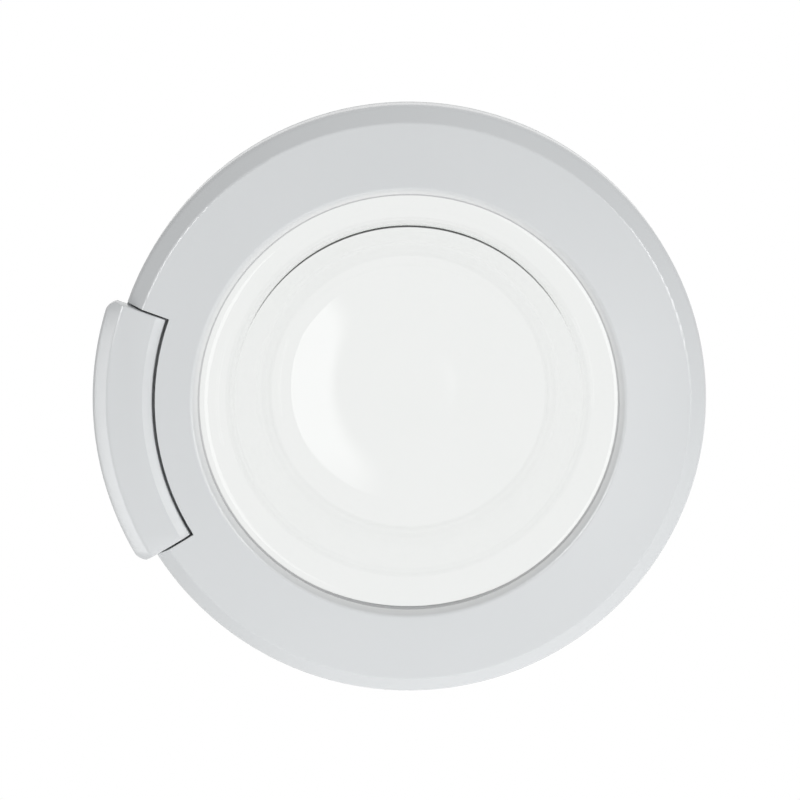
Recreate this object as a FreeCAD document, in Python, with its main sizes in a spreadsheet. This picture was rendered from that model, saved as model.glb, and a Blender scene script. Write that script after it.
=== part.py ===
import FreeCAD, Part
import math
import os
import re

import Sketcher

# Front-loading washing machine door: a moulded ring and a rear frame clamp a pressed glass bowl.
# A lever handle at the left works a sprung hook, and a cast hinge at the right carries the door.
# The door axis is Y, the front faces -Y, Z is up, and y = 0 is the rear face of the frame.
# Sizes named "front" or "depth" are distances in front of that rear face.

SIZES = {
    # front ring
    "ring_radius": 215.0,
    "ring_front": 44.0,
    "ring_wall": 3.0,
    "bevel_width": 12.0,
    "bevel_depth": 11.0,
    "bevel_crease": 2.5,
    "shoulder_round": 8.0,
    "rim_width": 63.0,
    "lip_slope_width": 4.0,
    "lip_slope_depth": 5.0,
    "lip_crest": 3.0,
    "lip_thick": 2.0,
    "seat_width": 8.0,
    # glass bowl and its gasket
    "gasket_thick": 1.0,
    "gasket_proud": 0.5,
    "glass_lap": 5.0,
    "glass_wall": 5.0,
    "neck_inset": 19.5,
    "neck_round": 28.0,
    "draft_angle": 24.5,
    "bowl_reach": 30.0,
    "bowl_round": 30.0,
    "bottom_angle": 6.0,
    "dome_inset": 48.0,
    "dome_round": 400.0,
    # rear frame
    "parting_depth": 12.0,
    "frame_wall": 4.0,
    "frame_round": 7.0,
    "collar_inset": 7.0,
    "collar_foot": 8.0,
    "foot_thick": 3.0,
    "spigot_wall": 2.5,
    "spigot_length": 4.0,
    "spigot_gap": 0.2,
    # screws and their bosses
    "screw_inset": 19.0,
    "screw_step_angle": 39.0,
    "boss_radius": 4.5,
    "pilot_depth": 15.0,
    "shank_radius": 1.7,
    "shank_length": 14.0,
    "shank_gap": 0.1,
    "head_radius": 3.8,
    "head_height": 2.4,
    "head_gap": 0.3,
    "recess_span": 2.1,
    "recess_width": 0.9,
    "recess_depth": 1.4,
    # handle lever
    "tilt_angle": 5.75,
    "handle_angle": 51.5,
    "end_gap_angle": 0.45,
    "handle_inset": 30.4,
    "handle_stand": 13.0,
    "handle_rise": 0.5,
    "handle_wall": 3.0,
    "handle_round": 12.0,
    "handle_ramp_width": 7.0,
    "handle_ramp_depth": 1.6,
    "handle_bevel_width": 11.0,
    "handle_bevel_depth": 8.5,
    "handle_depth": 15.5,
    "handle_edge_round": 2.0,
    "handle_edge_depth": 6.5,
    "grip_depth": 18.0,
    "handle_gap": 2.2,
    # handle pivot
    "pivot_inset": 7.5,
    "pivot_depth": 7.0,
    "handle_pin_radius": 2.0,
    "run_gap": 0.05,
    "ear_radius": 4.5,
    "ear_thick": 8.0,
    "ear_place": 24.0,
    "arm_thick": 8.0,
    "arm_width": 5.0,
    # handle support
    "floor_depth": 20.0,
    "floor_thick": 3.0,
    "floor_width": 47.0,
    "floor_gap": 0.7,
    "floor_angle": 57.0,
    "bearing_radius": 3.5,
    "bearing_thick": 8.0,
    "bearing_gap": 1.0,
    "support_screw_inset": 7.0,
    "support_screw_angle": 16.0,
    # latch hook
    "hook_pivot_depth": 10.0,
    "hook_gap": 0.6,
    "hook_thick": 8.0,
    "hook_width": 6.0,
    "hook_reach": 24.0,
    "hook_nose": 5.0,
    "hook_throat": 11.0,
    "hook_boss": 5.0,
    "hook_pin_radius": 2.0,
    "hook_ear_place": 12.0,
    "hook_ear_thick": 5.0,
    "hook_slot_side": 2.4,
    # springs
    "wire_radius": 0.6,
    "coil_radius": 3.2,
    "coil_pitch": 1.35,
    "handle_coil_turns": 6.25,
    "hook_coil_turns": 4.25,
    "handle_coil_place": 8.0,
    "hook_coil_place": 4.9,
    "floor_leg": 16.4,
    "handle_leg": 12.0,
    "hook_floor_leg": 6.0,
    "hook_leg": 8.0,
    # hinge
    "hinge_inset": 19.0,
    "hinge_depth": 12.0,
    "hinge_pin_radius": 3.0,
    "barrel_radius": 8.0,
    "barrel_half": 18.0,
    "bush_wall": 1.5,
    "bush_flange": 1.8,
    "bush_flange_radius": 7.0,
    "bush_length": 12.0,
    "press_gap": 0.02,
    "block_inner": 28.0,
    "block_outer": 10.0,
    "block_half": 40.0,
    "block_thick": 4.0,
    "block_screw_inset": 6.0,
    "block_screw_spacing": 20.0,
    "block_screw_place": 34.0,
    "arm_play": 0.2,
    "hinge_arm_thick": 8.0,
    "hinge_arm_width": 9.0,
    "hinge_boss": 6.5,
    "plate_inset": 18.0,
    "plate_width": 21.0,
    "plate_half": 47.0,
    "plate_thick": 3.0,
    "plate_behind": 5.0,
    "plate_round": 5.0,
    "mount_hole_radius": 2.7,
    "mount_spacing_x": 10.0,
    "mount_spacing_z": 78.0,
    "slot_gap": 1.8,
    "clip_thick": 0.9,
    "clip_gap": 0.1,
    "pin_end": 1.5,
    "clip_radius": 5.5,
    "clip_groove": 0.7,
    "clip_mouth": 3.6,
}

doc = FreeCAD.newDocument("WashingMachineDoor")
sheet = doc.addObject("Spreadsheet::Sheet", "Sizes")
for row, (alias, size) in enumerate(SIZES.items(), start=1):
    sheet.set(f"A{row}", alias.replace("_", " "))
    sheet.set(f"B{row}", str(size))
    sheet.setAlias(f"B{row}", alias)
doc.recompute()

# Radii and places that follow from the sizes; an expression may name these as well
PLACES = {
    "lip_radius": "ring_radius - rim_width",
    "face_radius": "ring_radius - bevel_width",
    "ring_inner": "ring_radius - ring_wall",
    "face_back": "ring_front - ring_wall",
    "lip_edge": "ring_front - lip_slope_depth",
    "lip_back": "lip_edge - lip_thick",
    "seat_radius": "lip_radius + seat_width",
    "glass_radius": "seat_radius + glass_lap",
    "glass_front": "lip_back - gasket_thick",
    "glass_back": "glass_front - glass_wall",
    "neck_radius": "lip_radius - neck_inset",
    "bottom_radius": "neck_radius - tan(draft_angle) * (glass_front + bowl_reach)",
    "dome_radius": "bottom_radius - dome_inset",
    "dome_reach": "bowl_reach + dome_inset * tan(bottom_angle)",
    "corner_spread": "1 + sin(draft_angle + bottom_angle)",
    "collar_radius": "glass_radius - collar_inset",
    "spigot_outer": "ring_inner - spigot_gap",
    "spigot_inner": "spigot_outer - spigot_wall",
    "spigot_front": "parting_depth + spigot_length",
    "screw_circle": "ring_radius - screw_inset",
    "handle_inner": "ring_radius - handle_inset",
    "handle_outer": "ring_radius + handle_stand",
    "handle_front": "ring_front + handle_rise",
    "handle_back": "handle_front - handle_depth",
    "handle_arc": "handle_angle - 2 * end_gap_angle",
    "half_arc": "handle_angle / 2",
    "end_wall_arc": "2 * handle_wall / handle_inner * 180 / pi",
    "grip_root": "handle_outer - grip_depth",
    "pivot_x": "handle_inner + pivot_inset",
    "pivot_front": "handle_front - pivot_depth",
    "bearing_place": "ear_place + ear_thick + bearing_gap",
    "handle_pin_length": "2 * (bearing_place + bearing_thick)",
    "drive_front": "(pivot_front + hook_pivot_depth) / 2",
    "floor_inner": "ring_radius - floor_width",
    "floor_back": "floor_depth - floor_thick",
    "support_screw_circle": "floor_inner + support_screw_inset",
    "hook_x": "pivot_x + arm_width + hook_gap",
    "hook_pin_length": "2 * (hook_ear_place + hook_ear_thick)",
    "hinge_x": "ring_radius - hinge_inset",
    "block_back": "hinge_depth + barrel_radius",
    "block_front": "block_back + block_thick",
    "block_left": "hinge_x - block_inner",
    "block_right": "hinge_x + block_outer",
    "block_screw_inner": "block_left + block_screw_inset",
    "block_screw_outer": "block_screw_inner + block_screw_spacing",
    "bush_inner": "hinge_pin_radius + run_gap",
    "bush_outer": "bush_inner + bush_wall",
    "arm_place": "barrel_half + bush_flange + arm_play",
    "arm_end": "arm_place + hinge_arm_thick",
    "half_arm": "hinge_arm_width / 2",
    "plate_right": "hinge_x - plate_inset",
    "plate_left": "plate_right - plate_width",
    "plate_back": "plate_behind + plate_thick",
    "mount_x": "plate_left + plate_width / 2",
    "lean_x": "hinge_x - plate_right",
    "lean_y": "hinge_depth + plate_behind",
    "lean_length": "sqrt(lean_x^2 + lean_y^2)",
    "groove_start": "arm_end + clip_gap / 2",
    "groove_stop": "arm_end + clip_thick + 3 * clip_gap / 2",
    "pin_stop": "groove_stop + pin_end",
    "neck_of_pin": "hinge_pin_radius - clip_groove",
}
SCREW_COUNT = 8


def tied(text):
    """An expression on the sheet: places are written out, and every size gets the sheet's name in front."""
    def written_out(found):
        name = found.group()
        return f"({tied(PLACES[name])})" if name in PLACES else f"Sizes.{name}"
    return re.sub(r"\b[a-z]+(?:_[a-z]+)+\b", written_out, text)


def number(text):
    """The value of such an expression at the sheet's present sizes."""
    return float(sheet.evalExpression(tied(text)))


def new_body(label):
    body = doc.addObject("PartDesign::Body", label)
    body.Label = label
    return body


def place(item, x="0", y="0", z="0"):
    """Tie an object's position to the sheet."""
    for axis, text in zip("xyz", (x, y, z)):
        item.setExpression(f"Placement.Base.{axis}", tied(text))


def turn_to_latch(item):
    """Turn a piece about the door axis, onto the centre line of the handle."""
    item.Placement = FreeCAD.Placement(FreeCAD.Vector(), FreeCAD.Rotation(FreeCAD.Vector(0, 1, 0), -1))
    item.setExpression("Placement.Rotation.Angle", tied("-tilt_angle"))


def new_sketch(body, name, plane, offset=None, across=None, latch=False):
    """A sketch on a plane of its own body, moved along its normal by offset and sideways by across.
    A latch sketch on the XY plane is turned about the door axis, onto the handle's centre line."""
    sketch = body.newObject("Sketcher::SketchObject", name)
    support = next(item for item in body.Origin.OriginFeatures if item.Role == plane)
    sketch.AttachmentSupport = [(support, "")]
    sketch.MapMode = "FlatFace"
    if latch:
        turn = FreeCAD.Rotation(FreeCAD.Vector(0, 1, 0), -1)
        sketch.AttachmentOffset = FreeCAD.Placement(FreeCAD.Vector(), turn)
        sketch.setExpression("AttachmentOffset.Rotation.Angle", tied("-tilt_angle"))
    if offset:
        sketch.setExpression("AttachmentOffset.Base.z", tied(offset))
    if across:
        sketch.setExpression("AttachmentOffset.Base.x", tied(across))
    return sketch


def fix_point(sketch, geometry, end, x, y):
    """Hold one point of a sketch at coordinates given by expressions."""
    for kind, text in (("DistanceX", x), ("DistanceY", y)):
        held = sketch.addConstraint(Sketcher.Constraint(kind, -1, 1, geometry, end, number(text)))
        sketch.setExpression(f"Constraints[{held}]", tied(text))


def outline(sketch, corners):
    """Add a closed outline; a corner is (x, y) or (x, y, radius), each an expression."""
    spots = [FreeCAD.Vector(number(corner[0]), number(corner[1]), 0) for corner in corners]
    count = len(corners)
    entry, leave, arcs = [], [], {}
    for i, corner in enumerate(corners):
        before = (spots[i - 1] - spots[i]).normalize()
        after = (spots[(i + 1) % count] - spots[i]).normalize()
        reach = 0.0
        if len(corner) == 3:
            radius = number(corner[2])
            half = before.getAngle(after) / 2
            reach = radius / math.tan(half)
            middle = spots[i] + (before + after).normalize() * (radius / math.sin(half))
            arcs[i] = (middle, radius)
        entry.append(spots[i] + before * reach)
        leave.append(spots[i] + after * reach)
    lines = []
    for i in range(count):
        lines.append(sketch.addGeometry(Part.LineSegment(leave[i - 1], entry[i])))
    for i, corner in enumerate(corners):
        line_in, line_out = lines[i], lines[(i + 1) % count]
        if i not in arcs:
            sketch.addConstraint(Sketcher.Constraint("Coincident", line_in, 2, line_out, 1))
            fix_point(sketch, line_in, 2, corner[0], corner[1])
            continue
        middle, radius = arcs[i]
        first, last = entry[i] - middle, leave[i] - middle
        left_turn = first.cross(last).z > 0
        start, stop = (first, last) if left_turn else (last, first)
        circle = Part.Circle(middle, FreeCAD.Vector(0, 0, 1), radius)
        angles = [math.atan2(spoke.y, spoke.x) for spoke in (start, stop)]
        arc = sketch.addGeometry(Part.ArcOfCircle(circle, angles[0], angles[1]))
        ends = (1, 2) if left_turn else (2, 1)
        sketch.addConstraint(Sketcher.Constraint("Tangent", line_in, 2, arc, ends[0]))
        sketch.addConstraint(Sketcher.Constraint("Tangent", arc, ends[1], line_out, 1))
        held = sketch.addConstraint(Sketcher.Constraint("Radius", arc, radius))
        sketch.setExpression(f"Constraints[{held}]", tied(corner[2]))
        corner_point = sketch.addGeometry(Part.Point(spots[i]), True)
        sketch.addConstraint(Sketcher.Constraint("PointOnObject", corner_point, 1, line_in))
        sketch.addConstraint(Sketcher.Constraint("PointOnObject", corner_point, 1, line_out))
        fix_point(sketch, corner_point, 1, corner[0], corner[1])


def box_outline(sketch, left, bottom, right, top, radius=None):
    rounding = (radius,) if radius else ()
    ring = [(left, bottom), (right, bottom), (right, top), (left, top)]
    outline(sketch, [corner + rounding for corner in ring])


def circle_at(sketch, x, y, radius):
    spot = FreeCAD.Vector(number(x), number(y), 0)
    circle = sketch.addGeometry(Part.Circle(spot, FreeCAD.Vector(0, 0, 1), number(radius)))
    held = sketch.addConstraint(Sketcher.Constraint("Radius", circle, number(radius)))
    sketch.setExpression(f"Constraints[{held}]", tied(radius))
    fix_point(sketch, circle, 3, x, y)


def turned(body, kind, name, sketch, angle=None):
    """A Revolution or a Groove about the sketch's own vertical axis."""
    feature = body.newObject(f"PartDesign::{kind}", name)
    feature.Profile = sketch
    feature.ReferenceAxis = (sketch, ["V_Axis"])
    feature.Angle = 360.0
    if angle:
        feature.Midplane = True
        feature.setExpression("Angle", tied(angle))
    doc.recompute()
    return feature


def raised(body, kind, name, sketch, length, symmetric=False, back=False):
    """A Pad or a Pocket of a sketch."""
    feature = body.newObject(f"PartDesign::{kind}", name)
    feature.Profile = sketch
    feature.setExpression("Length", tied(length))
    if symmetric:
        feature.SideType = "Symmetric"
    feature.Reversed = back
    doc.recompute()
    return feature


# Outline of a screw's cross recess, corner by corner round its four arms
SIDE, TIP = "recess_width / 2", "recess_span"
CROSS = [(SIDE, TIP), (SIDE, SIDE), (TIP, SIDE), (TIP, f"-{SIDE}"), (SIDE, f"-{SIDE}"), (SIDE, f"-{TIP}"),
         (f"-{SIDE}", f"-{TIP}"), (f"-{SIDE}", f"-{SIDE}"), (f"-{TIP}", f"-{SIDE}"), (f"-{TIP}", SIDE),
         (f"-{SIDE}", SIDE), (f"-{SIDE}", TIP)]


def screw_group(label, seats, latch=False):
    """Like screws with their heads to the rear; a seat is the point under a head's rim."""
    screws = []
    for i, (x, front, z) in enumerate(seats, start=1):
        screw = new_body(f"{label}_{i}")
        sketch = new_sketch(screw, f"{label}_{i}_half", "XY_Plane")
        outline(sketch, [
            ("0", "-shank_length"),
            ("shank_radius / 2", "-shank_length"),
            ("shank_radius", "-shank_length + shank_radius"),
            ("shank_radius", "0"),
            ("head_radius", "0"),
            ("head_radius", "head_height", "head_height * 0.6"),
            ("0", "head_height"),
        ])
        turned(screw, "Revolution", f"{label}_{i}_turned", sketch)
        cross = new_sketch(screw, f"{label}_{i}_cross", "XZ_Plane", "-head_height")
        outline(cross, CROSS)
        raised(screw, "Pocket", f"{label}_{i}_recess", cross, "recess_depth", back=True)
        if latch:
            x, z = latch_spot(x, z)
        place(screw, x, f"-({front})", z)
        screws.append(screw)
    group = doc.addObject("Part::Compound", label)
    group.Label = label
    group.Links = screws
    return group


def latch_spot(x, z):
    """Door coordinates of a point that is given along and across the handle's centre line."""
    return (f"({x}) * cos(tilt_angle) - ({z}) * sin(tilt_angle)",
            f"({x}) * sin(tilt_angle) + ({z}) * cos(tilt_angle)")


frame_screw_angles = [f"screw_step_angle * {i - (SCREW_COUNT - 1) / 2}" for i in range(SCREW_COUNT)]
frame_screw_spots = [(f"screw_circle * cos({angle})", f"screw_circle * sin({angle})")
                     for angle in frame_screw_angles]
support_screw_spots = [(f"-support_screw_circle * cos({side}support_screw_angle)",
                        f"{side}support_screw_circle * sin(support_screw_angle)") for side in ("", "-")]
block_screw_spots = [(x, f"{side}block_screw_place")
                     for x in ("block_screw_inner", "block_screw_outer") for side in ("", "-")]


# Front ring: one moulding with a sloped lip, a flat face and a bevelled edge
ring = new_body("outer_ring")
section = new_sketch(ring, "ring_section", "XY_Plane")
outline(section, [
    ("lip_radius", "-lip_back"),
    ("lip_radius", "-lip_edge"),
    ("lip_radius + lip_slope_width", "-ring_front", "lip_crest"),
    ("face_radius", "-ring_front", "bevel_crease"),
    ("ring_radius", "-ring_front + bevel_depth", "shoulder_round"),
    ("ring_radius", "-parting_depth"),
    ("ring_inner", "-parting_depth"),
    ("ring_inner", "-ring_front + bevel_depth + ring_wall * 0.4", "shoulder_round - ring_wall"),
    ("face_radius - ring_wall * 0.4", "-face_back"),
    ("seat_radius", "-face_back"),
    ("seat_radius", "-lip_back"),
])
turned(ring, "Revolution", "ring_turned", section)

# Screw bosses stand on the back of the face, each as long as what it carries needs
EMBED = "(ring_wall / 2)"


def add_bosses(name, spots, front, latch=False):
    bosses = new_sketch(ring, f"{name}_bosses", "XZ_Plane", front)
    pilots = new_sketch(ring, f"{name}_pilots", "XZ_Plane", front)
    for x, z in spots:
        if latch:
            x, z = latch_spot(x, z)
        circle_at(bosses, x, z, "boss_radius")
        circle_at(pilots, x, z, "shank_radius + shank_gap")
    raised(ring, "Pad", f"{name}_columns", bosses, f"face_back - ({front}) + {EMBED}")
    raised(ring, "Pocket", f"{name}_holes", pilots, "pilot_depth", back=True)


add_bosses("frame", frame_screw_spots, "frame_wall")
add_bosses("support", support_screw_spots, "floor_depth", latch=True)
add_bosses("hinge", block_screw_spots, "block_front")

# The handle's bay is cut through the face and the edge, down to the handle support
bay = new_sketch(ring, "handle_bay", "XY_Plane", latch=True)
box_outline(bay, "-handle_outer - handle_wall", "-ring_front - handle_wall",
            "-handle_inner + handle_gap", "-floor_depth")
turned(ring, "Groove", "handle_bay_cut", bay, "handle_angle")

# Gasket: a flat rubber ring between the lip and the glass, whose edge stands just clear of the lip
gasket = new_body("glass_gasket")
section = new_sketch(gasket, "gasket_section", "XY_Plane")
box_outline(section, "lip_radius - gasket_proud", "-lip_back", "seat_radius", "-glass_front")
turned(gasket, "Revolution", "gasket_turned", section)

# Glass bowl: pressed in one piece, with a flat flange, a wide neck, a drafted wall and a domed bottom
bowl = new_body("glass_bowl")
section = new_sketch(bowl, "bowl_section", "XY_Plane")
outline(section, [
    ("glass_radius", "-glass_front"),
    ("neck_radius", "-glass_front", "neck_round"),
    ("bottom_radius", "bowl_reach", "bowl_round"),
    ("dome_radius", "dome_reach", "dome_round"),
    ("0", "dome_reach"),
    ("0", "dome_reach + glass_wall"),
    ("dome_radius + glass_wall * tan(bottom_angle / 2)", "dome_reach + glass_wall", "dome_round + glass_wall"),
    ("bottom_radius + glass_wall * (cos(draft_angle) + sin(bottom_angle)) / corner_spread",
     "bowl_reach + glass_wall * (sin(draft_angle) + cos(bottom_angle)) / corner_spread",
     "bowl_round + glass_wall"),
    ("neck_radius + glass_wall * (1 - sin(draft_angle)) / cos(draft_angle)", "-glass_back",
     "neck_round - glass_wall"),
    ("glass_radius", "-glass_back"),
])
turned(bowl, "Revolution", "bowl_turned", section)

# Rear frame: a channel whose collar clamps the flange and whose spigot enters the ring
frame = new_body("rear_frame")
section = new_sketch(frame, "frame_section", "XY_Plane")
outline(section, [
    ("collar_radius", "-glass_back"),
    ("collar_radius + collar_foot", "-glass_back"),
    ("collar_radius + collar_foot", "-glass_back + foot_thick"),
    ("collar_radius + frame_wall", "-glass_back + foot_thick"),
    ("collar_radius + frame_wall", "-frame_wall"),
    ("spigot_inner", "-frame_wall"),
    ("spigot_inner", "-spigot_front"),
    ("spigot_outer", "-spigot_front"),
    ("spigot_outer", "-parting_depth"),
    ("ring_radius", "-parting_depth"),
    ("ring_radius", "0", "frame_round"),
    ("collar_radius", "0", "frame_wall / 2"),
])
turned(frame, "Revolution", "frame_turned", section)

holes = new_sketch(frame, "screw_holes", "XZ_Plane")
seats = new_sketch(frame, "screw_seats", "XZ_Plane")
for x, z in frame_screw_spots:
    circle_at(holes, x, z, "shank_radius + head_gap")
    circle_at(seats, x, z, "head_radius + head_gap")
raised(frame, "Pocket", "screw_hole_cut", holes, "frame_wall", back=True)
raised(frame, "Pocket", "screw_seat_cut", seats, "head_height", back=True)

# The hook leaves through a slot on the handle's centre line
slot = new_sketch(frame, "hook_slot", "XZ_Plane")
slot_left = "-hook_x - hook_width / 2 - hook_nose - hook_slot_side"
slot_right = "-hook_x + hook_width / 2 + hook_slot_side"
slot_half = "(hook_thick / 2 + hook_slot_side / 2)"
slot_corners = [(slot_left, f"-{slot_half}"), (slot_right, f"-{slot_half}"),
                (slot_right, slot_half), (slot_left, slot_half)]
outline(slot, [latch_spot(x, z) + ("hook_slot_side / 2",) for x, z in slot_corners])
raised(frame, "Pocket", "hook_slot_cut", slot, "frame_wall", back=True)

# The two hinge arms pass through slots that run out at the edge
arm_slots = new_sketch(frame, "arm_slots", "XZ_Plane", "spigot_front + slot_gap")
for low, high in (("arm_place", "arm_end"), ("-arm_end", "-arm_place")):
    box_outline(arm_slots, "plate_right - hinge_arm_width - slot_gap", f"{low} - slot_gap",
                "ring_radius + slot_gap", f"{high} + slot_gap")
raised(frame, "Pocket", "arm_slot_cut", arm_slots, "spigot_front + 2 * slot_gap")

frame_screws = screw_group("frame_screws", [(x, "head_height", z) for x, z in frame_screw_spots])

# Handle support: the floor of the handle's bay, with the bearings of the handle and of the hook
support = new_body("handle_support")
section = new_sketch(support, "floor_section", "XY_Plane")
box_outline(section, "-ring_inner + floor_gap", "-floor_depth", "-floor_inner", "-floor_back")
turned(support, "Revolution", "floor_turned", section, "floor_angle")

for side, name in (("", "upper"), ("-", "lower")):
    bearing = new_sketch(support, f"{name}_bearing", "XY_Plane",
                         f"{side}(bearing_place + bearing_thick / 2)")
    outline(bearing, [
        ("-pivot_x - 2 * bearing_radius", "-floor_depth + floor_thick / 2"),
        ("-pivot_x - bearing_radius", "-pivot_front - bearing_radius", "bearing_radius * 0.95"),
        ("-pivot_x + bearing_radius", "-pivot_front - bearing_radius", "bearing_radius * 0.95"),
        ("-pivot_x + 2 * bearing_radius", "-floor_depth + floor_thick / 2"),
    ])
    raised(support, "Pad", f"{name}_bearing_post", bearing, "bearing_thick", symmetric=True)
    hook_ear = new_sketch(support, f"{name}_hook_ear", "XY_Plane",
                          f"{side}(hook_ear_place + hook_ear_thick / 2)")
    outline(hook_ear, [
        ("-hook_x - 2 * bearing_radius", "-floor_back - floor_thick / 2"),
        ("-hook_x - bearing_radius", "-hook_pivot_depth + bearing_radius", "bearing_radius * 0.95"),
        ("-hook_x + bearing_radius", "-hook_pivot_depth + bearing_radius", "bearing_radius * 0.95"),
        ("-hook_x + 2 * bearing_radius", "-floor_back - floor_thick / 2"),
    ])
    raised(support, "Pad", f"{name}_hook_post", hook_ear, "hook_ear_thick", symmetric=True)

pin_bores = new_sketch(support, "pin_bores", "XY_Plane")
circle_at(pin_bores, "-pivot_x", "-pivot_front", "handle_pin_radius + press_gap")
circle_at(pin_bores, "-hook_x", "-hook_pivot_depth", "hook_pin_radius + press_gap")
raised(support, "Pocket", "pin_bore_cut", pin_bores, "handle_pin_length", symmetric=True)

tail_slot = new_sketch(support, "tail_slot", "XZ_Plane", "floor_depth")
box_outline(tail_slot, "-hook_x - hook_boss - hook_slot_side / 2", "-hook_thick / 2 - hook_slot_side / 4",
            "-hook_x + hook_boss", "hook_thick / 2 + hook_slot_side / 4")
raised(support, "Pocket", "tail_slot_cut", tail_slot, "floor_thick")
holes = new_sketch(support, "support_screw_holes", "XZ_Plane", "floor_depth")
for x, z in support_screw_spots:
    circle_at(holes, x, z, "shank_radius + head_gap")
raised(support, "Pocket", "support_screw_cut", holes, "floor_thick")
turn_to_latch(support)

support_screws = screw_group("support_screws", [(x, "floor_back", z) for x, z in support_screw_spots], latch=True)


def pivot_pin(label, x, front, radius, length):
    """A plain steel pin along the tangent at the middle of the handle."""
    pin = new_body(label)
    sketch = new_sketch(pin, f"{label}_section", "XY_Plane")
    circle_at(sketch, x, f"-{front}", radius)
    raised(pin, "Pad", f"{label}_rod", sketch, length, symmetric=True)
    turn_to_latch(pin)
    return pin


handle_pin = pivot_pin("handle_pin", "-pivot_x", "pivot_front", "handle_pin_radius", "handle_pin_length")
hook_pin = pivot_pin("hook_pin", "-hook_x", "hook_pivot_depth", "hook_pin_radius", "hook_pin_length")

# Handle lever: a hollow arc of the ring's own section, with bearing ears and an arm for the hook
form = new_body("handle_form")
section = new_sketch(form, "handle_section", "XY_Plane")
outline(section, [
    ("-handle_inner", "-handle_front + handle_ramp_depth", "handle_ramp_depth"),
    ("-handle_inner - handle_ramp_width", "-handle_front", "handle_ramp_depth"),
    ("-handle_outer + handle_bevel_width", "-handle_front", "2 * bevel_crease"),
    ("-handle_outer", "-handle_front + handle_bevel_depth", "2 * bevel_crease"),
    ("-handle_outer", "-handle_back", "handle_edge_round"),
    ("-grip_root", "-handle_back"),
    ("-handle_inner", "-handle_front + handle_edge_depth"),
])
turned(form, "Revolution", "handle_turned", section, "handle_arc")
hollow = new_sketch(form, "handle_hollow", "XY_Plane")
outline(hollow, [
    ("-handle_inner - handle_wall", "-handle_front + handle_wall"),
    ("-handle_outer + handle_bevel_width + handle_wall * 0.4", "-handle_front + handle_wall"),
    ("-handle_outer + handle_wall", "-handle_front + handle_bevel_depth + handle_wall * 0.4"),
    ("-handle_outer + handle_wall", "-handle_back + handle_wall"),
    ("-handle_inner - handle_wall", "-handle_back + handle_wall"),
])
turned(form, "Groove", "handle_hollow_cut", hollow, "handle_arc - end_wall_arc")


def add_ear(name, middle, thick):
    ear = new_sketch(form, f"{name}_ear", "XY_Plane", middle)
    outline(ear, [
        ("-pivot_x - ear_radius", "-handle_front + handle_wall / 2"),
        ("-pivot_x - ear_radius", "-pivot_front + ear_radius", "ear_radius * 0.95"),
        ("-pivot_x + ear_radius", "-pivot_front + ear_radius", "ear_radius * 0.95"),
        ("-pivot_x + ear_radius", "-handle_front + handle_wall / 2"),
    ])
    raised(form, "Pad", f"{name}_ear_plate", ear, thick, symmetric=True)


add_ear("upper", "ear_place + ear_thick / 2", "ear_thick")
add_ear("lower", "-ear_place - ear_thick / 2", "ear_thick")
add_ear("middle", "0", "arm_thick")


def drive_arm(body, name, x, root, tip):
    """A narrow arm with a round tip, from a pivot towards the other lever."""
    arm = new_sketch(body, f"{name}_outline", "XY_Plane")
    outline(arm, [
        (f"-{x} - arm_width / 2", root),
        (f"-{x} - arm_width / 2", tip, "arm_width * 0.48"),
        (f"-{x} + arm_width / 2", tip, "arm_width * 0.48"),
        (f"-{x} + arm_width / 2", root),
    ])
    raised(body, "Pad", f"{name}_plate", arm, "arm_thick", symmetric=True)


drive_arm(form, "handle_arm", "pivot_x", "-pivot_front", "-drive_front + arm_width / 2")
bore = new_sketch(form, "handle_bore", "XY_Plane")
circle_at(bore, "-pivot_x", "-pivot_front", "handle_pin_radius + run_gap")
raised(form, "Pocket", "handle_bore_cut", bore, "handle_pin_length", symmetric=True)

# The lever's outer corners are rounded in plan
plan = new_body("handle_plan")
sketch = new_sketch(plan, "handle_plan_outline", "XZ_Plane")
outline(sketch, [
    ("-floor_inner * cos(half_arc)", "floor_inner * sin(half_arc)"),
    ("-handle_outer * cos(half_arc)", "handle_outer * sin(half_arc)", "handle_round"),
    ("-handle_outer / cos(half_arc)", "0"),
    ("-handle_outer * cos(half_arc)", "-handle_outer * sin(half_arc)", "handle_round"),
    ("-floor_inner * cos(half_arc)", "-floor_inner * sin(half_arc)"),
])
raised(plan, "Pad", "handle_plan_block", sketch, "handle_front + handle_wall")
lever = doc.addObject("Part::Common", "handle_lever")
lever.Label = "handle_lever"
lever.Base = form
lever.Tool = plan
turn_to_latch(lever)


def torsion_spring(label, x, front, start, turns, left_handed, long_leg, long_back, side_leg):
    """A close coil about a pivot, with one leg along the door axis and one across it."""
    spring = new_body(label)
    wire = new_sketch(spring, f"{label}_wire", "XZ_Plane", front, f"-{x}")
    circle_at(wire, "coil_radius", start, "wire_radius")
    coil = spring.newObject("PartDesign::AdditiveHelix", f"{label}_coil")
    coil.Profile = wire
    coil.ReferenceAxis = (wire, ["V_Axis"])
    coil.Mode = "pitch-turns-angle"
    coil.LeftHanded = left_handed
    coil.setExpression("Pitch", tied("coil_pitch"))
    coil.setExpression("Turns", tied(turns))
    doc.recompute()
    raised(spring, "Pad", f"{label}_axial_leg", wire, long_leg, back=long_back)
    across = new_sketch(spring, f"{label}_leg_section", "YZ_Plane", f"-{x}")
    turn = "-" if left_handed else ""
    circle_at(across, f"-{front} + ({turn}coil_radius)", f"{start} + coil_pitch * {turns}", "wire_radius")
    raised(spring, "Pad", f"{label}_side_leg", across, side_leg, back=True)
    turn_to_latch(spring)
    return spring


handle_spring = torsion_spring("handle_spring", "pivot_x", "pivot_front", "handle_coil_place",
                               "handle_coil_turns", True, "floor_leg", True, "handle_leg")
hook_spring = torsion_spring("hook_spring", "hook_x", "hook_pivot_depth", "hook_coil_place",
                             "hook_coil_turns", False, "hook_floor_leg", False, "hook_leg")

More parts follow.
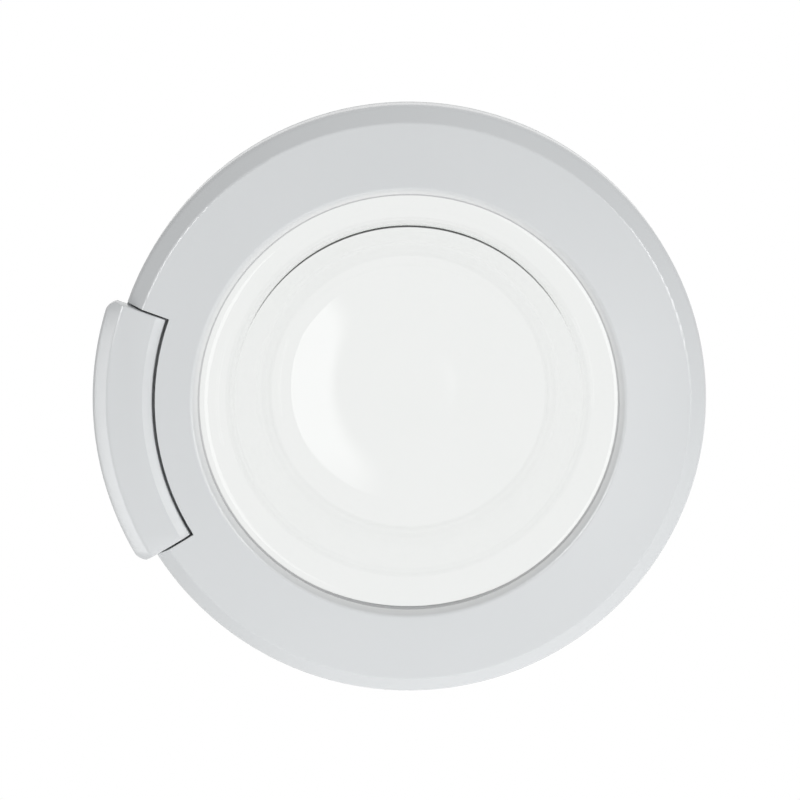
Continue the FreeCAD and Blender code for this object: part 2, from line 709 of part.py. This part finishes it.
# Latch hook: a cast lever with a nose behind the door and a tail that the handle's arm pushes
hook = new_body("latch_hook")
shank = new_sketch(hook, "hook_outline", "XY_Plane")
outline(shank, [
    ("-hook_x + hook_width / 2", "-hook_pivot_depth"),
    ("-hook_x + hook_width / 2", "hook_reach", "hook_width / 2"),
    ("-hook_x - hook_width / 2", "hook_reach", "hook_width / 3"),
    ("-hook_x - hook_width / 2 - hook_nose", "hook_throat + hook_nose / 2", "hook_nose / 4"),
    ("-hook_x - hook_width / 2 - hook_nose", "hook_throat"),
    ("-hook_x - hook_width / 2", "hook_throat", "hook_nose / 4"),
    ("-hook_x - hook_width / 2", "-hook_pivot_depth"),
])
raised(hook, "Pad", "hook_shank", shank, "hook_thick", symmetric=True)
boss = new_sketch(hook, "hook_boss_outline", "XY_Plane")
circle_at(boss, "-hook_x", "-hook_pivot_depth", "hook_boss")
raised(hook, "Pad", "hook_boss_plate", boss, "hook_thick", symmetric=True)
drive_arm(hook, "hook_tail", "hook_x", "-hook_pivot_depth", "-drive_front - arm_width / 2")
bore = new_sketch(hook, "hook_bore", "XY_Plane")
circle_at(bore, "-hook_x", "-hook_pivot_depth", "hook_pin_radius + run_gap")
raised(hook, "Pocket", "hook_bore_cut", bore, "hook_pin_length", symmetric=True)
turn_to_latch(hook)

# Hinge block: a casting on four bosses of the ring, with the barrel that turns on the hinge pin
block = new_body("hinge_block")
base = new_sketch(block, "block_outline", "XZ_Plane", "block_back")
box_outline(base, "block_left", "-block_half", "block_right", "block_half", "plate_round")
raised(block, "Pad", "block_plate", base, "block_thick")
web = new_sketch(block, "barrel_web", "XY_Plane")
box_outline(web, "hinge_x - barrel_radius", "-block_back - block_thick / 2",
            "hinge_x + barrel_radius", "-hinge_depth")
raised(block, "Pad", "barrel_foot", web, "2 * barrel_half", symmetric=True)
barrel = new_sketch(block, "barrel_outline", "XY_Plane")
circle_at(barrel, "hinge_x", "-hinge_depth", "barrel_radius")
raised(block, "Pad", "barrel", barrel, "2 * barrel_half", symmetric=True)
bore = new_sketch(block, "barrel_bore", "XY_Plane")
circle_at(bore, "hinge_x", "-hinge_depth", "bush_outer + press_gap")
raised(block, "Pocket", "barrel_bore_cut", bore, "2 * barrel_half", symmetric=True)
holes = new_sketch(block, "block_screw_holes", "XZ_Plane", "block_front")
for x, z in block_screw_spots:
    circle_at(holes, x, z, "shank_radius + head_gap")
raised(block, "Pocket", "block_screw_cut", holes, "block_thick")
block_screws = screw_group("block_screws", [(x, "block_back", z) for x, z in block_screw_spots])


def flanged_bush(label, side):
    """A flanged bush in one end of the barrel; side is the sign of that end."""
    bush = new_body(label)
    half = new_sketch(bush, f"{label}_half", "XZ_Plane", "hinge_depth", "hinge_x")
    outline(half, [
        ("bush_inner", f"{side}(barrel_half - bush_length)"),
        ("bush_outer", f"{side}(barrel_half - bush_length)"),
        ("bush_outer", f"{side}barrel_half"),
        ("bush_flange_radius", f"{side}barrel_half"),
        ("bush_flange_radius", f"{side}(barrel_half + bush_flange)"),
        ("bush_inner", f"{side}(barrel_half + bush_flange)"),
    ])
    turned(bush, "Revolution", f"{label}_turned", half)
    return bush


bush_upper = flanged_bush("bush_upper", "")
bush_lower = flanged_bush("bush_lower", "-")

# Hinge bracket: a cast plate that is bolted to the cabinet, with two arms that reach into the door
bracket = new_body("hinge_bracket")
plate = new_sketch(bracket, "plate_outline", "XZ_Plane", "-plate_behind")
box_outline(plate, "plate_left", "-plate_half", "plate_right", "plate_half", "plate_round")
raised(bracket, "Pad", "plate", plate, "plate_thick", back=True)
for side, name in (("", "upper"), ("-", "lower")):
    middle = f"{side}(arm_place + hinge_arm_thick / 2)"
    arm = new_sketch(bracket, f"{name}_arm_outline", "XY_Plane", middle)
    outline(arm, [
        ("plate_right - hinge_arm_width", "plate_back"),
        ("plate_right + half_arm", "plate_back", "plate_round"),
        ("hinge_x + half_arm * lean_y / lean_length", "-hinge_depth + half_arm * lean_x / lean_length"),
        ("hinge_x - half_arm * lean_y / lean_length", "-hinge_depth - half_arm * lean_x / lean_length"),
        ("plate_right - hinge_arm_width", "plate_behind"),
    ])
    raised(bracket, "Pad", f"{name}_arm", arm, "hinge_arm_thick", symmetric=True)
    eye = new_sketch(bracket, f"{name}_eye_outline", "XY_Plane", middle)
    circle_at(eye, "hinge_x", "-hinge_depth", "hinge_boss")
    raised(bracket, "Pad", f"{name}_eye", eye, "hinge_arm_thick", symmetric=True)
bore = new_sketch(bracket, "eye_bore", "XY_Plane")
circle_at(bore, "hinge_x", "-hinge_depth", "hinge_pin_radius + press_gap")
raised(bracket, "Pocket", "eye_bore_cut", bore, "2 * arm_end", symmetric=True)
holes = new_sketch(bracket, "mount_holes", "XZ_Plane", "-plate_behind")
for side_x in ("-", "+"):
    for side_z in ("-", ""):
        circle_at(holes, f"mount_x {side_x} mount_spacing_x / 2", f"{side_z}mount_spacing_z / 2",
                  "mount_hole_radius")
raised(bracket, "Pocket", "mount_hole_cut", holes, "plate_thick")

# Hinge pin: a steel pin with a groove for a clip beyond each arm
hinge_pin = new_body("hinge_pin")
half = new_sketch(hinge_pin, "hinge_pin_half", "XZ_Plane", "hinge_depth", "hinge_x")
upper_half = [("hinge_pin_radius", "groove_start"), ("neck_of_pin", "groove_start"), ("neck_of_pin", "groove_stop"),
              ("hinge_pin_radius", "groove_stop"), ("hinge_pin_radius", "pin_stop"), ("0", "pin_stop")]
lower_half = [(x, f"-{z}") for x, z in reversed(upper_half)]
outline(half, upper_half + lower_half)
turned(hinge_pin, "Revolution", "hinge_pin_turned", half)

clips = []
for side, name in (("", "upper"), ("-", "lower")):
    clip = new_body(f"{name}_clip")
    ring_sketch = new_sketch(clip, f"{name}_clip_outline", "XY_Plane",
                             f"{side}(arm_end + clip_gap + clip_thick / 2)")
    circle_at(ring_sketch, "hinge_x", "-hinge_depth", "clip_radius")
    circle_at(ring_sketch, "hinge_x", "-hinge_depth", "neck_of_pin + press_gap")
    raised(clip, "Pad", f"{name}_clip_ring", ring_sketch, "clip_thick", symmetric=True)
    mouth = new_sketch(clip, f"{name}_clip_mouth", "XY_Plane")
    box_outline(mouth, "hinge_x", "-hinge_depth - clip_mouth / 2",
                "hinge_x + 2 * clip_radius", "-hinge_depth + clip_mouth / 2")
    raised(clip, "Pocket", f"{name}_clip_mouth_cut", mouth, "2 * pin_stop", symmetric=True)
    clips.append(clip)
pin_clips = doc.addObject("Part::Compound", "pin_clips")
pin_clips.Label = "pin_clips"
pin_clips.Links = clips

PIECES = [ring, gasket, bowl, frame, frame_screws, support, support_screws, handle_pin, lever, handle_spring,
          hook_pin, hook, hook_spring, block, block_screws, bush_upper, bush_lower, bracket, hinge_pin, pin_clips]

doc.recompute()
for item in doc.Objects:
    if "Invalid" in item.State or "Error" in item.State:
        raise RuntimeError(f"{item.Name} did not build: {item.State}")
for piece in PIECES:
    if piece.Shape.isNull() or not piece.Shape.isValid():
        raise RuntimeError(f"{piece.Label} has no valid shape")
os.makedirs("parts", exist_ok=True)
for piece in PIECES:
    piece.Shape.exportStep(f"parts/{piece.Label}.step")
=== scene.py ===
import math

import bpy
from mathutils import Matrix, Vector


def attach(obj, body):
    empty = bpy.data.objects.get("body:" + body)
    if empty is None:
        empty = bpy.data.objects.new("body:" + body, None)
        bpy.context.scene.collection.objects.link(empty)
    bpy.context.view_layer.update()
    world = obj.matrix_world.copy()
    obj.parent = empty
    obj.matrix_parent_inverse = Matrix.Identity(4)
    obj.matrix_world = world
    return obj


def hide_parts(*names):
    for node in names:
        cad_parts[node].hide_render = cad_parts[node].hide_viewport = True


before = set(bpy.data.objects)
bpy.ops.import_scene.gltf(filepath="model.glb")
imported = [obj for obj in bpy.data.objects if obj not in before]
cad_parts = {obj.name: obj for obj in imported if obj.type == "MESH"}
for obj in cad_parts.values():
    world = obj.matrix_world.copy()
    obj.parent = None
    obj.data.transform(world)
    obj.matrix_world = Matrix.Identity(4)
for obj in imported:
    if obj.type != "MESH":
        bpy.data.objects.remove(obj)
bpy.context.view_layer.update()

# Front ring: one injection moulding in light grey plastic, with a sloped lip round the window.
# The mould leaves it satin, with a faint orange peel and a slow drift of tone round the rim.
# It is the shell of the door, and the other pieces of the door are held in it or behind it.


class Shade:
    """One output in a material's nodes; arithmetic on it adds Math nodes, and node() adds any other."""

    def __init__(self, tree, output=None):
        self.tree = tree
        self.output = output

    def node(self, kind, settings=None, sockets=None, output=0):
        made = self.tree.nodes.new(kind)
        for name, value in (settings or {}).items():
            setattr(made, name, value)
        for name, value in (sockets or {}).items():
            if isinstance(value, Shade):
                self.tree.links.new(value.output, made.inputs[name])
            else:
                made.inputs[name].default_value = value
        return Shade(self.tree, made.outputs[output])

    def result(self, operation, first, second):
        return self.node("ShaderNodeMath", {"operation": operation}, {0: first, 1: second})

    def __add__(self, other):
        return self.result("ADD", self, other)

    def __radd__(self, other):
        return self.result("ADD", other, self)

    def __sub__(self, other):
        return self.result("SUBTRACT", self, other)

    def __rsub__(self, other):
        return self.result("SUBTRACT", other, self)

    def __mul__(self, other):
        return self.result("MULTIPLY", self, other)

    def __rmul__(self, other):
        return self.result("MULTIPLY", other, self)

    def __pow__(self, other):
        return self.result("POWER", self, other)


def new_finish(name):
    """A material, its Principled shader's sockets, its nodes, and the piece's own coordinates in metres."""
    finish = bpy.data.materials.new(name)
    finish.use_nodes = True
    surface = finish.node_tree.nodes["Principled BSDF"].inputs
    nodes = Shade(finish.node_tree)
    place = nodes.node("ShaderNodeTexCoord", output="Object")
    return finish, surface, nodes, place


def feed(surface, name, shade):
    """Link a shade to a socket of the Principled shader."""
    shade.tree.links.new(shade.output, surface[name])


def noise(nodes, place, scale, detail=2.0, roughness=0.5):
    """Cloudy noise from 0 to 1; a scale of 100 has spots about 10 mm across."""
    return nodes.node("ShaderNodeTexNoise", None,
                      {"Vector": place, "Scale": scale, "Detail": detail, "Roughness": roughness})


def between(nodes, factor, first, second):
    """A colour between two others."""
    return nodes.node("ShaderNodeMix", {"data_type": "RGBA"}, {0: factor, 6: first, 7: second}, output=2)


def bump(nodes, height, distance, strength):
    """A normal from a height between 0 and 1, with the full height given in metres."""
    return nodes.node("ShaderNodeBump", None, {"Height": height, "Distance": distance, "Strength": strength})


def ramp(nodes, value, low, high):
    """Rises smoothly from 0 to 1 as a value goes from low to high."""
    return nodes.node("ShaderNodeMapRange", {"interpolation_type": "SMOOTHSTEP"}, {0: value, 1: low, 2: high})


def moulded_plastic(name, pale, deep, roughness, peel_height):
    """Moulded plastic: a slow drift between two tones, orange peel, fine grain and wiping streaks."""
    finish, surface, nodes, place = new_finish(name)
    x, z = (nodes.node("ShaderNodeSeparateXYZ", None, {0: place}, output=axis) for axis in ("X", "Z"))
    radius = (x * x + z * z) ** 0.5
    # stretched coordinates, which make the streaks about 40 mm long round the axis and under 1 mm wide
    round_axis = nodes.node("ShaderNodeCombineXYZ", None,
                            {"X": nodes.result("ARCTAN2", z, x) * 5.0, "Y": radius * 1400.0})
    drift = noise(nodes, place, 9.0, 3.0)
    peel = noise(nodes, place, 420.0, 2.0)
    grain = noise(nodes, place, 2600.0, 1.0)
    streaks = noise(nodes, round_axis, 1.0, 3.0, 0.7)
    tone = between(nodes, drift, deep, pale)
    feed(surface, "Base Color", tone)
    feed(surface, "Roughness", roughness + (grain - 0.5) * 0.08 + (streaks - 0.5) * 0.14)
    feed(surface, "Normal", bump(nodes, peel + grain * 0.35, peel_height, 0.5))
    surface["IOR"].default_value = 1.5
    return finish, surface, nodes, radius, tone


def dress(node, finish):
    """Put a finish on a CAD node's own material slots."""
    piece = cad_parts[node]
    if not piece.material_slots:
        piece.data.materials.append(finish)
    for place in piece.material_slots:
        place.material = finish


ring_plastic, surface, nodes, radius, tone = moulded_plastic(
    "ring_plastic", (0.648, 0.663, 0.673, 1), (0.614, 0.632, 0.642, 1), 0.20, 0.00002)
# painted light: the lip round the window is painted paler than the face, standing in for the light that falls
# on its slope
painted_light_start, painted_light_end = 0.1575, 0.1525
lip_painted_light_tone = (0.77, 0.78, 0.78, 1)
feed(surface, "Base Color", between(nodes, ramp(nodes, radius, painted_light_start, painted_light_end), tone, lip_painted_light_tone))
dress("outer_ring", ring_plastic)

# Gasket: a flat ring of grey silicone rubber between the lip and the glass.
# A little over a millimetre of it shows, as the thin dark line round the window.


def joined_copy(name, node):
    """A copy of a CAD node's mesh with its triangles joined, left in edit mode with all of it selected."""
    piece = bpy.data.objects.new(name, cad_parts[node].data.copy())
    bpy.context.scene.collection.objects.link(piece)
    bpy.ops.object.select_all(action="DESELECT")
    piece.select_set(True)
    bpy.context.view_layer.objects.active = piece
    bpy.ops.mesh.customdata_custom_splitnormals_clear()
    bpy.ops.object.mode_set(mode="EDIT")
    bpy.ops.mesh.select_all(action="SELECT")
    bpy.ops.mesh.remove_doubles(threshold=0.00001)
    return piece


def finish_piece(piece, finish, body, node):
    """Smooth a new piece, give it its finish, and let it stand for its CAD node."""
    bpy.ops.object.select_all(action="DESELECT")
    piece.select_set(True)
    bpy.context.view_layer.objects.active = piece
    bpy.ops.object.shade_smooth_by_angle(angle=math.radians(32))
    piece.data.materials.clear()
    piece.data.materials.append(finish)
    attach(piece, body)
    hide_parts(node)


gasket_rubber, surface, nodes, place = new_finish("gasket_rubber")
bloom = noise(nodes, place, 160.0, 4.0)
feed(surface, "Base Color", between(nodes, bloom, (0.52, 0.525, 0.53, 1), (0.60, 0.605, 0.61, 1)))
feed(surface, "Roughness", 0.55 + bloom * 0.25)
feed(surface, "Normal", bump(nodes, bloom, 0.0001, 0.4))

# the corners of its inner edge, which lie inside a limit, are drawn in: at the CAD radius too little shows
cad_radius, shown_radius, inner_limit = 0.1515, 0.1508, 0.1525
gasket = joined_copy("gasket", "glass_gasket")
bpy.ops.mesh.select_all(action="DESELECT")
bpy.ops.object.mode_set(mode="OBJECT")
for corner in gasket.data.vertices:
    corner.select = math.hypot(corner.co.x, corner.co.z) < inner_limit
bpy.ops.object.mode_set(mode="EDIT")
narrowed = shown_radius / cad_radius
bpy.ops.transform.resize(value=(narrowed, 1, narrowed), center_override=(0, 0, 0))
bpy.ops.object.mode_set(mode="OBJECT")
finish_piece(gasket, gasket_rubber, "door", "glass_gasket")

# Bowl: pressed in one piece from clear glass, with a flat flange, a steep wall and a domed bottom.
# The ring and the rear frame clamp the flange, and the bowl reaches into the machine's rubber seal.


def rounded(corners, steps):
    """Points of a section from its corners (radius, depth) or (radius, depth, rounding), in millimetres."""
    points = []
    for i, corner in enumerate(corners):
        spot = Vector(corner[:2])
        if len(corner) == 2:
            points.append(spot)
            continue
        before = (Vector(corners[i - 1][:2]) - spot).normalized()
        after = (Vector(corners[(i + 1) % len(corners)][:2]) - spot).normalized()
        half = before.angle(after) / 2
        middle = spot + (before + after).normalized() * (corner[2] / math.sin(half))
        first = spot + before * (corner[2] / math.tan(half)) - middle
        last = spot + after * (corner[2] / math.tan(half)) - middle
        whole = first.angle(last)
        for step in range(steps + 1):
            share = step / steps
            spoke = first * math.sin((1 - share) * whole) + last * math.sin(share * whole)
            points.append(middle + spoke / math.sin(whole))
    return points


def spun(name, section, steps):
    """Draw a closed section point by point and spin it about the door's axis."""
    points = [Vector((point.x, point.y, 0)) / 1000 for point in section]
    bpy.ops.object.select_all(action="DESELECT")
    bpy.ops.mesh.primitive_plane_add(size=0.01)
    piece = bpy.context.object
    piece.name = name
    bpy.ops.object.mode_set(mode="EDIT")
    bpy.ops.mesh.merge(type="CENTER")
    bpy.ops.transform.translate(value=points[0])
    for here, there in zip(points, points[1:]):
        bpy.ops.mesh.extrude_region_move(TRANSFORM_OT_translate={"value": there - here})
    bpy.ops.mesh.select_all(action="SELECT")
    bpy.ops.mesh.edge_face_add()
    bpy.ops.mesh.delete(type="ONLY_FACE")
    bpy.ops.mesh.select_all(action="SELECT")
    bpy.ops.mesh.spin(steps=steps, angle=2 * math.pi, center=(0, 0, 0), axis=(0, -1, 0))
    bpy.ops.mesh.select_all(action="SELECT")
    bpy.ops.mesh.remove_doubles(threshold=0.000002)
    bpy.ops.mesh.normals_make_consistent(inside=False)
    bpy.ops.object.mode_set(mode="OBJECT")
    return piece


# from the middle of the back along the inside to the flange, round its edge, and back along the outside
bowl_corners = (
    (0.0, 40.04),
    (0.0, 35.05),
    (54.42, 35.05, 400.0),
    (102.42, 30.0, 30.0),
    (132.5, -36.0, 28.0),
    (165.0, -36.0, 0.8),
    (165.0, -31.0, 0.8),
    (135.72, -31.0, 24.0),
    (105.79, 34.67, 35.0),
    (54.68, 40.04, 405.0),
)
arc_steps, turn_steps = 18, 288
bowl = spun("bowl", rounded(bowl_corners, arc_steps), turn_steps)

bowl_glass, surface, nodes, place = new_finish("bowl_glass")
waves = noise(nodes, place, 26.0, 1.0)
seeds = noise(nodes, place, 900.0, 0.0)
feed(surface, "Base Color", between(nodes, waves, (0.850, 0.864, 0.852, 1), (0.862, 0.872, 0.864, 1)))
feed(surface, "Roughness", 0.006 + seeds * 0.010)
feed(surface, "Normal", bump(nodes, waves, 0.0002, 0.15))
surface["Transmission Weight"].default_value = 1.0
surface["IOR"].default_value = 1.5
finish_piece(bowl, bowl_glass, "door", "glass_bowl")

# Rear frame and handle support: grey mouldings with a duller finish than the ring.
# The frame is a channel with a collar round the bowl, and eight screws in its flat back clamp the glass.
# The support is screwed into the ring's back and carries the pins of the handle and the hook.

frame_plastic = moulded_plastic(
    "frame_plastic", (0.62, 0.635, 0.645, 1), (0.58, 0.595, 0.605, 1), 0.45, 0.00004)[0]
dress("rear_frame", frame_plastic)
dress("handle_support", frame_plastic)

# Screws: zinc-plated steel with pan heads, driven from behind.
# The plating is bluish and a little cloudy, and the heads are scuffed by the driver.

plated_steel, surface, nodes, place = new_finish("plated_steel")
cloud = noise(nodes, place, 700.0, 4.0)
feed(surface, "Base Color", between(nodes, cloud, (0.55, 0.56, 0.57, 1), (0.72, 0.72, 0.70, 1)))
feed(surface, "Roughness", 0.22 + cloud * 0.22)
feed(surface, "Normal", bump(nodes, cloud, 0.00005, 0.3))
surface["Metallic"].default_value = 1.0
for group in ("frame_screws", "support_screws", "block_screws"):
    dress(group, plated_steel)

# Pins: bright steel rod, ground between centres, so fine rings run round each pin.
# The handle and hook pins sit in the support's ears, and the hinge pin in the bracket's eyes.

ground_steel, surface, nodes, place = new_finish("ground_steel")
along_pin = nodes.node("ShaderNodeMapping", None, {"Vector": place, "Scale": (60, 60, 4000)})
rings = noise(nodes, along_pin, 1.0, 2.0)
feed(surface, "Base Color", between(nodes, rings, (0.50, 0.50, 0.51, 1), (0.66, 0.66, 0.66, 1)))
feed(surface, "Roughness", 0.16 + rings * 0.2)
feed(surface, "Normal", bump(nodes, rings, 0.00002, 0.3))
surface["Metallic"].default_value = 1.0
for group in ("handle_pin", "hook_pin", "hinge_pin"):
    dress(group, ground_steel)

# Springs and clips: the springs are coiled from drawn wire, and the clips are stamped from spring strip.
# Hardening leaves them darker than the pins, with a thin film of oil that dulls them in patches.

spring_steel, surface, nodes, place = new_finish("spring_steel")
oil = noise(nodes, place, 350.0, 4.0)
scale = noise(nodes, place, 1800.0, 2.0)
feed(surface, "Base Color", between(nodes, oil, (0.26, 0.26, 0.27, 1), (0.40, 0.40, 0.41, 1)))
feed(surface, "Roughness", 0.24 + oil * 0.16 + scale * 0.10)
feed(surface, "Normal", bump(nodes, scale, 0.00003, 0.3))
surface["Metallic"].default_value = 1.0
for group in ("handle_spring", "hook_spring", "pin_clips"):
    dress(group, spring_steel)

# Hook, hinge block and hinge bracket: die-cast zinc, tumbled and left bare.
# The block is screwed into the door, and the bracket is bolted to the machine's front.

cast_zinc, surface, nodes, place = new_finish("cast_zinc")
skin = noise(nodes, place, 240.0, 5.0, 0.6)
feed(surface, "Base Color", between(nodes, skin, (0.40, 0.41, 0.42, 1), (0.58, 0.58, 0.58, 1)))
feed(surface, "Roughness", 0.34 + skin * 0.25)
feed(surface, "Normal", bump(nodes, skin, 0.0003, 0.35))
surface["Metallic"].default_value = 1.0
for group in ("latch_hook", "hinge_block", "hinge_bracket"):
    dress(group, cast_zinc)

# Bushes: moulded in white acetal, which runs dry on steel.
# One is pressed into each end of the hinge block's barrel.

bush_acetal = moulded_plastic("bush_acetal", (0.84, 0.83, 0.79, 1), (0.78, 0.77, 0.73, 1), 0.4, 0.00002)[0]
dress("bush_upper", bush_acetal)
dress("bush_lower", bush_acetal)

# Handle: a hollow lever moulded in the ring's own plastic, hung on a pin behind the ring's face.
# Its edges are broken in the mould, so they catch the light beside the dark gap.

handle = joined_copy("handle", "handle_lever")
bpy.ops.mesh.dissolve_limited(angle_limit=math.radians(0.5))
bpy.ops.object.mode_set(mode="OBJECT")
edges = handle.modifiers.new("edges", "BEVEL")
edges.width = 0.0006
edges.segments = 3
edges.limit_method = "ANGLE"
edges.angle_limit = math.radians(40)
edges.use_clamp_overlap = False
bpy.ops.object.modifier_apply(modifier="edges")
finish_piece(handle, ring_plastic, "handle", "handle_lever")

# Studio: a plain pale floor well below the door, which fades out into a white surround.
# Soft lamps light the door, a dark card shades one side, and small lamps give the glints.

floor_radius, floor_height = 2.6, -1.7
fade_start, fade_end = 1.4, 2.5
bpy.ops.object.select_all(action="DESELECT")
bpy.ops.mesh.primitive_circle_add(vertices=96, radius=floor_radius, fill_type="NGON",
                                  location=(0, 0, floor_height))
floor = bpy.context.object
floor.name = "floor"
floor_paint, surface, nodes, place = new_finish("floor_paint")
speckle = noise(nodes, place, 3.0, 2.0)
feed(surface, "Base Color", between(nodes, speckle, (0.86, 0.86, 0.86, 1), (0.88, 0.88, 0.88, 1)))
surface["Roughness"].default_value = 0.9


def shown(nodes):
    """1 for rays that show the surround itself: from the camera, a reflection or a refraction."""
    rays = ("Is Camera Ray", "Is Glossy Ray", "Is Transmission Ray")
    camera_ray, glossy_ray, through_ray = (nodes.node("ShaderNodeLightPath", output=ray) for ray in rays)
    return camera_ray + glossy_ray + through_ray


def mixed(nodes, factor, first, second):
    """A shader between two others."""
    return nodes.node("ShaderNodeMixShader", None, {0: factor, 1: first, 2: second})


# what is shown of the floor is mostly plain white, and the rest is paint that takes the shadow
white_share = 0.85
tree = floor_paint.node_tree
painted = Shade(tree, tree.nodes["Principled BSDF"].outputs[0])
white = nodes.node("ShaderNodeEmission", None, {"Color": (1, 1, 1, 1), "Strength": 1.0})
clear = nodes.node("ShaderNodeBsdfTransparent")
away = nodes.node("ShaderNodeVectorMath", {"operation": "LENGTH"}, {0: place}, output="Value")
seen_floor = mixed(nodes, shown(nodes) * white_share, painted, white)
faded = mixed(nodes, ramp(nodes, away, fade_start, fade_end), seen_floor, clear)
tree.links.new(faded.output, tree.nodes["Material Output"].inputs["Surface"])
floor.data.materials.append(floor_paint)

# a dark card beyond the left shoulder takes soft light off the bevel and the wall there
card_size = 1.4
card_place = 1.2 * Vector((-0.86, 0.38, 0.32)).normalized()
card_turn = card_place.to_track_quat("Z", "Y").to_euler()
bpy.ops.object.select_all(action="DESELECT")
bpy.ops.mesh.primitive_plane_add(size=card_size, location=card_place, rotation=card_turn)
card = bpy.context.object
card.name = "card"
bpy.ops.object.transform_apply(location=True, rotation=True, scale=True)
card_paint, surface, nodes, place = new_finish("card_paint")
nap = noise(nodes, place, 40.0, 3.0)
feed(surface, "Base Color", between(nodes, nap, (0.04, 0.04, 0.04, 1), (0.06, 0.06, 0.06, 1)))
surface["Roughness"].default_value = 0.95
card.data.materials.append(card_paint)
card.visible_camera = False
card.visible_glossy = False
card.visible_transmission = False

soft_level, shown_level = 0.67, 1.0
world = bpy.data.worlds.new("studio")
world.use_nodes = True
bpy.context.scene.world = world
nodes = Shade(world.node_tree)
level = nodes.node("ShaderNodeMix", {"data_type": "FLOAT"}, {0: shown(nodes), 2: soft_level, 3: shown_level})
backdrop = world.node_tree.nodes["Background"].inputs
backdrop["Color"].default_value = (1, 1, 1, 1)
world.node_tree.links.new(level.output, backdrop["Strength"])


def softbox(name, azimuth, elevation, distance, width, height, radiance):
    """A lamp that faces the door from a direction in degrees; the camera doesn't see it."""
    lamp = bpy.data.lights.new(name, "AREA")
    lamp.shape = "RECTANGLE"
    lamp.size = width
    lamp.size_y = height
    lamp.energy = radiance * math.pi * width * height
    holder = bpy.data.objects.new(name, lamp)
    bpy.context.scene.collection.objects.link(holder)
    turn, rise = math.radians(azimuth), math.radians(elevation)
    holder.location = distance * Vector((math.sin(turn) * math.cos(rise), -math.cos(turn) * math.cos(rise),
                                         math.sin(rise)))
    holder.rotation_euler = (-holder.location).to_track_quat("-Z", "Y").to_euler()
    holder.visible_camera = False
    return holder


# soft lamps, which no reflection or refraction shows
lamp_distance = 2.0
for name, azimuth, elevation, width, height, radiance in (
        ("low_front", 4.0, -40.0, 1.5, 1.0, 3.5),
        ("high_right", 42.0, 55.0, 1.0, 1.0, 1.7),
        ("low_right", 75.0, -35.0, 0.8, 0.8, 2.8)):
    lamp = softbox(name, azimuth, elevation, lamp_distance, width, height, radiance)
    lamp.visible_glossy = False
    lamp.visible_transmission = False

# a window, whose image in the bowl has a slanting top and fades to the right and downwards
window = softbox("window", azimuth=6.6, elevation=-8.4, distance=1.2, width=0.26, height=0.37, radiance=2.0)
window.visible_diffuse = False
window.visible_transmission = False
window.data.use_nodes = True
nodes = Shade(window.data.node_tree)
spot = nodes.node("ShaderNodeNewGeometry", output="Parametric")
across, up = (nodes.node("ShaderNodeSeparateXYZ", None, {0: spot}, output=axis) for axis in ("X", "Y"))
slanting_top = ramp(nodes, across + up * 0.8, 0.36, 0.54)
right_fade = ramp(nodes, across, 0.08, 0.3)
low_fade = ramp(nodes, up, 1.0, 0.6)
glow = slanting_top * right_fade * low_fade
nodes.tree.links.new(glow.output, nodes.tree.nodes["Emission"].inputs["Strength"])

# two strips, for the fine streaks at the left and the right of the bowl
strip_distance = 1.0
for name, azimuth, elevation, width, height, radiance in (
        ("left_strip", -76.0, -23.0, 0.05, 0.50, 1.2),
        ("right_strip", 46.0, -14.0, 0.03, 0.45, 1.3)):
    lamp = softbox(name, azimuth, elevation, strip_distance, width, height, radiance)
    lamp.visible_diffuse = False

# lamps that only draw glints on the grey plastic, each linked to the pieces that it lights
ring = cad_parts["outer_ring"]
for name, azimuth, elevation, width, height, radiance, targets in (
        ("left_glint", -36.0, 13.0, 0.60, 0.90, 8.0, (ring, handle)),
        ("right_glint", 41.0, 8.0, 0.50, 1.20, 6.0, (ring, handle)),
        ("side_glint", -75.0, -16.0, 0.84, 1.70, 3.5, (handle,)),
        ("low_glint", 19.5, -1.0, 0.28, 0.30, 4.0, (handle,))):
    lamp = softbox(name, azimuth, elevation, lamp_distance, width, height, radiance)
    lamp.visible_diffuse = False
    lit_pieces = bpy.data.collections.new(name)
    for piece in targets:
        lit_pieces.objects.link(piece)
    lamp.light_linking.receiver_collection = lit_pieces

# a long lens, from a little above the door's axis
camera = bpy.data.objects.new("camera", bpy.data.cameras.new("camera"))
bpy.context.scene.collection.objects.link(camera)
bpy.context.scene.camera = camera
camera.data.lens = 150.0
camera.data.sensor_width = 36.0
aim = Vector((-0.0062, -0.022, 0.0))
camera_distance = 2.417
lift = math.radians(10.0)
camera.location = aim + camera_distance * Vector((0, -math.cos(lift), math.sin(lift)))
camera.rotation_euler = (aim - camera.location).to_track_quat("-Z", "Y").to_euler()

bpy.context.scene.view_settings.view_transform = "Standard"
